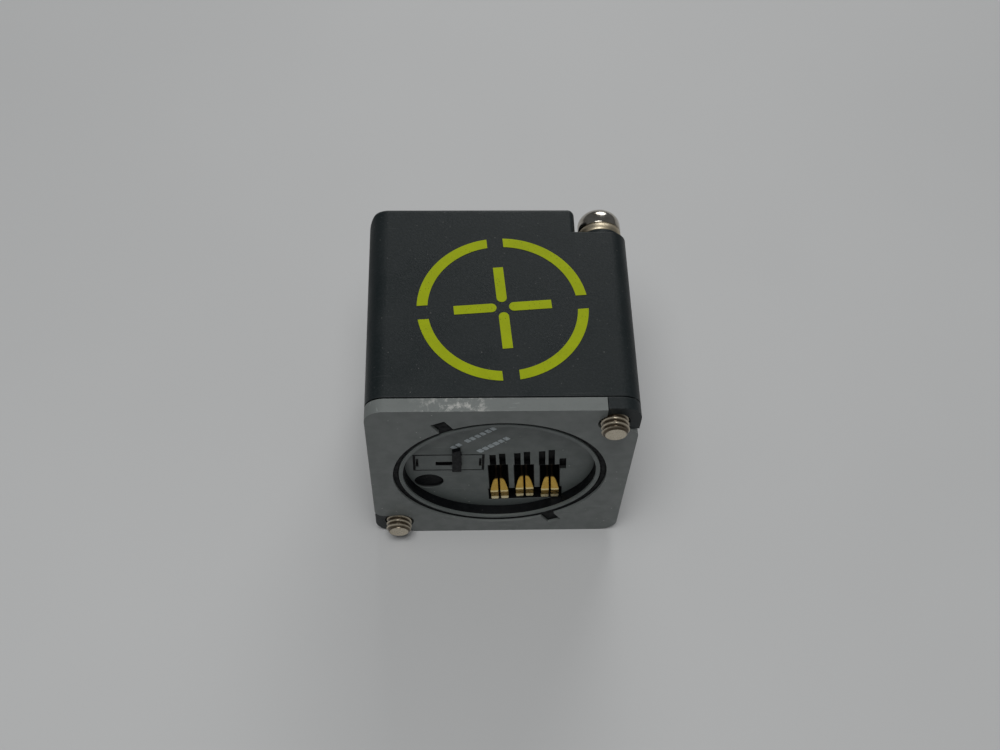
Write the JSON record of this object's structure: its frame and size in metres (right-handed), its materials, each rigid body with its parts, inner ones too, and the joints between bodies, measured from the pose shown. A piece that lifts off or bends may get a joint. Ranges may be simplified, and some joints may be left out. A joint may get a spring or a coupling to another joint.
{
  "type": "inductive proximity sensor head",
  "caption": "Square plug-in inductive sensor head: black housing with a printed aiming mark, gray mating plate with a round recess, sliding selector, spring contacts and captive screws.",
  "frame": {"origin": "middle of the bottom face, which is the face opposite the sensing face", "axes": "+Z out of the sensing face with the aiming mark, -Y out of the mating face with the contacts, +X to the right when looking at the mating face with the sensing face up"},
  "size_m": [0.0404, 0.0405, 0.0404],
  "materials": {
    "housing": "fine satin texture, black",
    "gray_plate": "satin gray",
    "gray_insert": "satin gray",
    "gasket": "matt black rubber",
    "knob": "satin dark gray",
    "black_insulator": "matt black",
    "board": "green lacquer",
    "ferrite": "sintered dark gray",
    "bobbin": "natural nylon",
    "copper": "enamelled copper",
    "resin": "cast dark resin",
    "ink": "pad-printed yellow-green",
    "component": "moulded black",
    "gold": "gold plated",
    "screw_steel": "nickel plated",
    "washer_steel": "plated spring steel"
  },
  "bodies": {
    "head": {"housing_shell": "housing", "base_plate": "gray_plate", "contact_carrier": "gray_insert", "hub_gasket": "gasket", "seal_retainer": "gray_plate", "fill_plug": "gasket", "selector_bezel": "gray_insert", "selector_switch_body": "black_insulator", "contact_block": "black_insulator", "circuit_board": "board", "ferrite_core": "ferrite", "coil_bobbin": "bobbin", "coil_winding": "copper", "coil_leads": "copper", "potting_compound": "resin", "reticle_print": "ink", "oscillator_chip": "component", "output_transistor": "component", "chip_capacitors": "component", "contact_terminal_1": "gold", "contact_terminal_2": "gold", "contact_terminal_3": "gold"},
    "selector": {"selector_slide": "knob"},
    "contact_1": {"contact_fingers_1": "gold"},
    "contact_2": {"contact_fingers_2": "gold"},
    "contact_3": {"contact_fingers_3": "gold"},
    "upper_washer": {"lock_washer_upper": "washer_steel"},
    "upper_screw": {"captive_screw_upper": "screw_steel"},
    "lower_washer": {"lock_washer_lower": "washer_steel"},
    "lower_screw": {"captive_screw_lower": "screw_steel"}
  },
  "joints": [
    {"name": "selector_travel", "type": "slide", "parent": "head", "child": "selector", "axis": [-1, 0, 0], "range_m": [0, 0.0025]},
    {"name": "contact_1_press", "type": "hinge", "parent": "head", "child": "contact_1", "pos_m": [0.00006, -0.01418, 0.0192], "axis": [0.9981, 0, 0.061], "range_deg": [0, 7], "stiffness_Nm_per_rad": 0.025},
    {"name": "contact_2_press", "type": "hinge", "parent": "head", "child": "contact_2", "pos_m": [0.00006, -0.01418, 0.0192], "axis": [0.9981, 0, 0.061], "range_deg": [0, 7], "stiffness_Nm_per_rad": 0.025},
    {"name": "contact_3_press", "type": "hinge", "parent": "head", "child": "contact_3", "pos_m": [0.00006, -0.01418, 0.0192], "axis": [0.9981, 0, 0.061], "range_deg": [0, 7], "stiffness_Nm_per_rad": 0.025},
    {"name": "upper_screw_travel", "type": "slide", "parent": "head", "child": "upper_washer", "axis": [0, 1, 0], "range_m": [0, 0.004]},
    {"name": "upper_screw_spin", "type": "hinge", "parent": "upper_washer", "child": "upper_screw", "pos_m": [0.01633, 0, 0.03653], "axis": [0, 1, 0], "continuous": true},
    {"name": "lower_screw_travel", "type": "slide", "parent": "head", "child": "lower_washer", "axis": [0, 1, 0], "range_m": [0, 0.004]},
    {"name": "lower_screw_spin", "type": "hinge", "parent": "lower_washer", "child": "lower_screw", "pos_m": [-0.01633, 0, 0.00387], "axis": [0, 1, 0], "continuous": true}
  ]
}
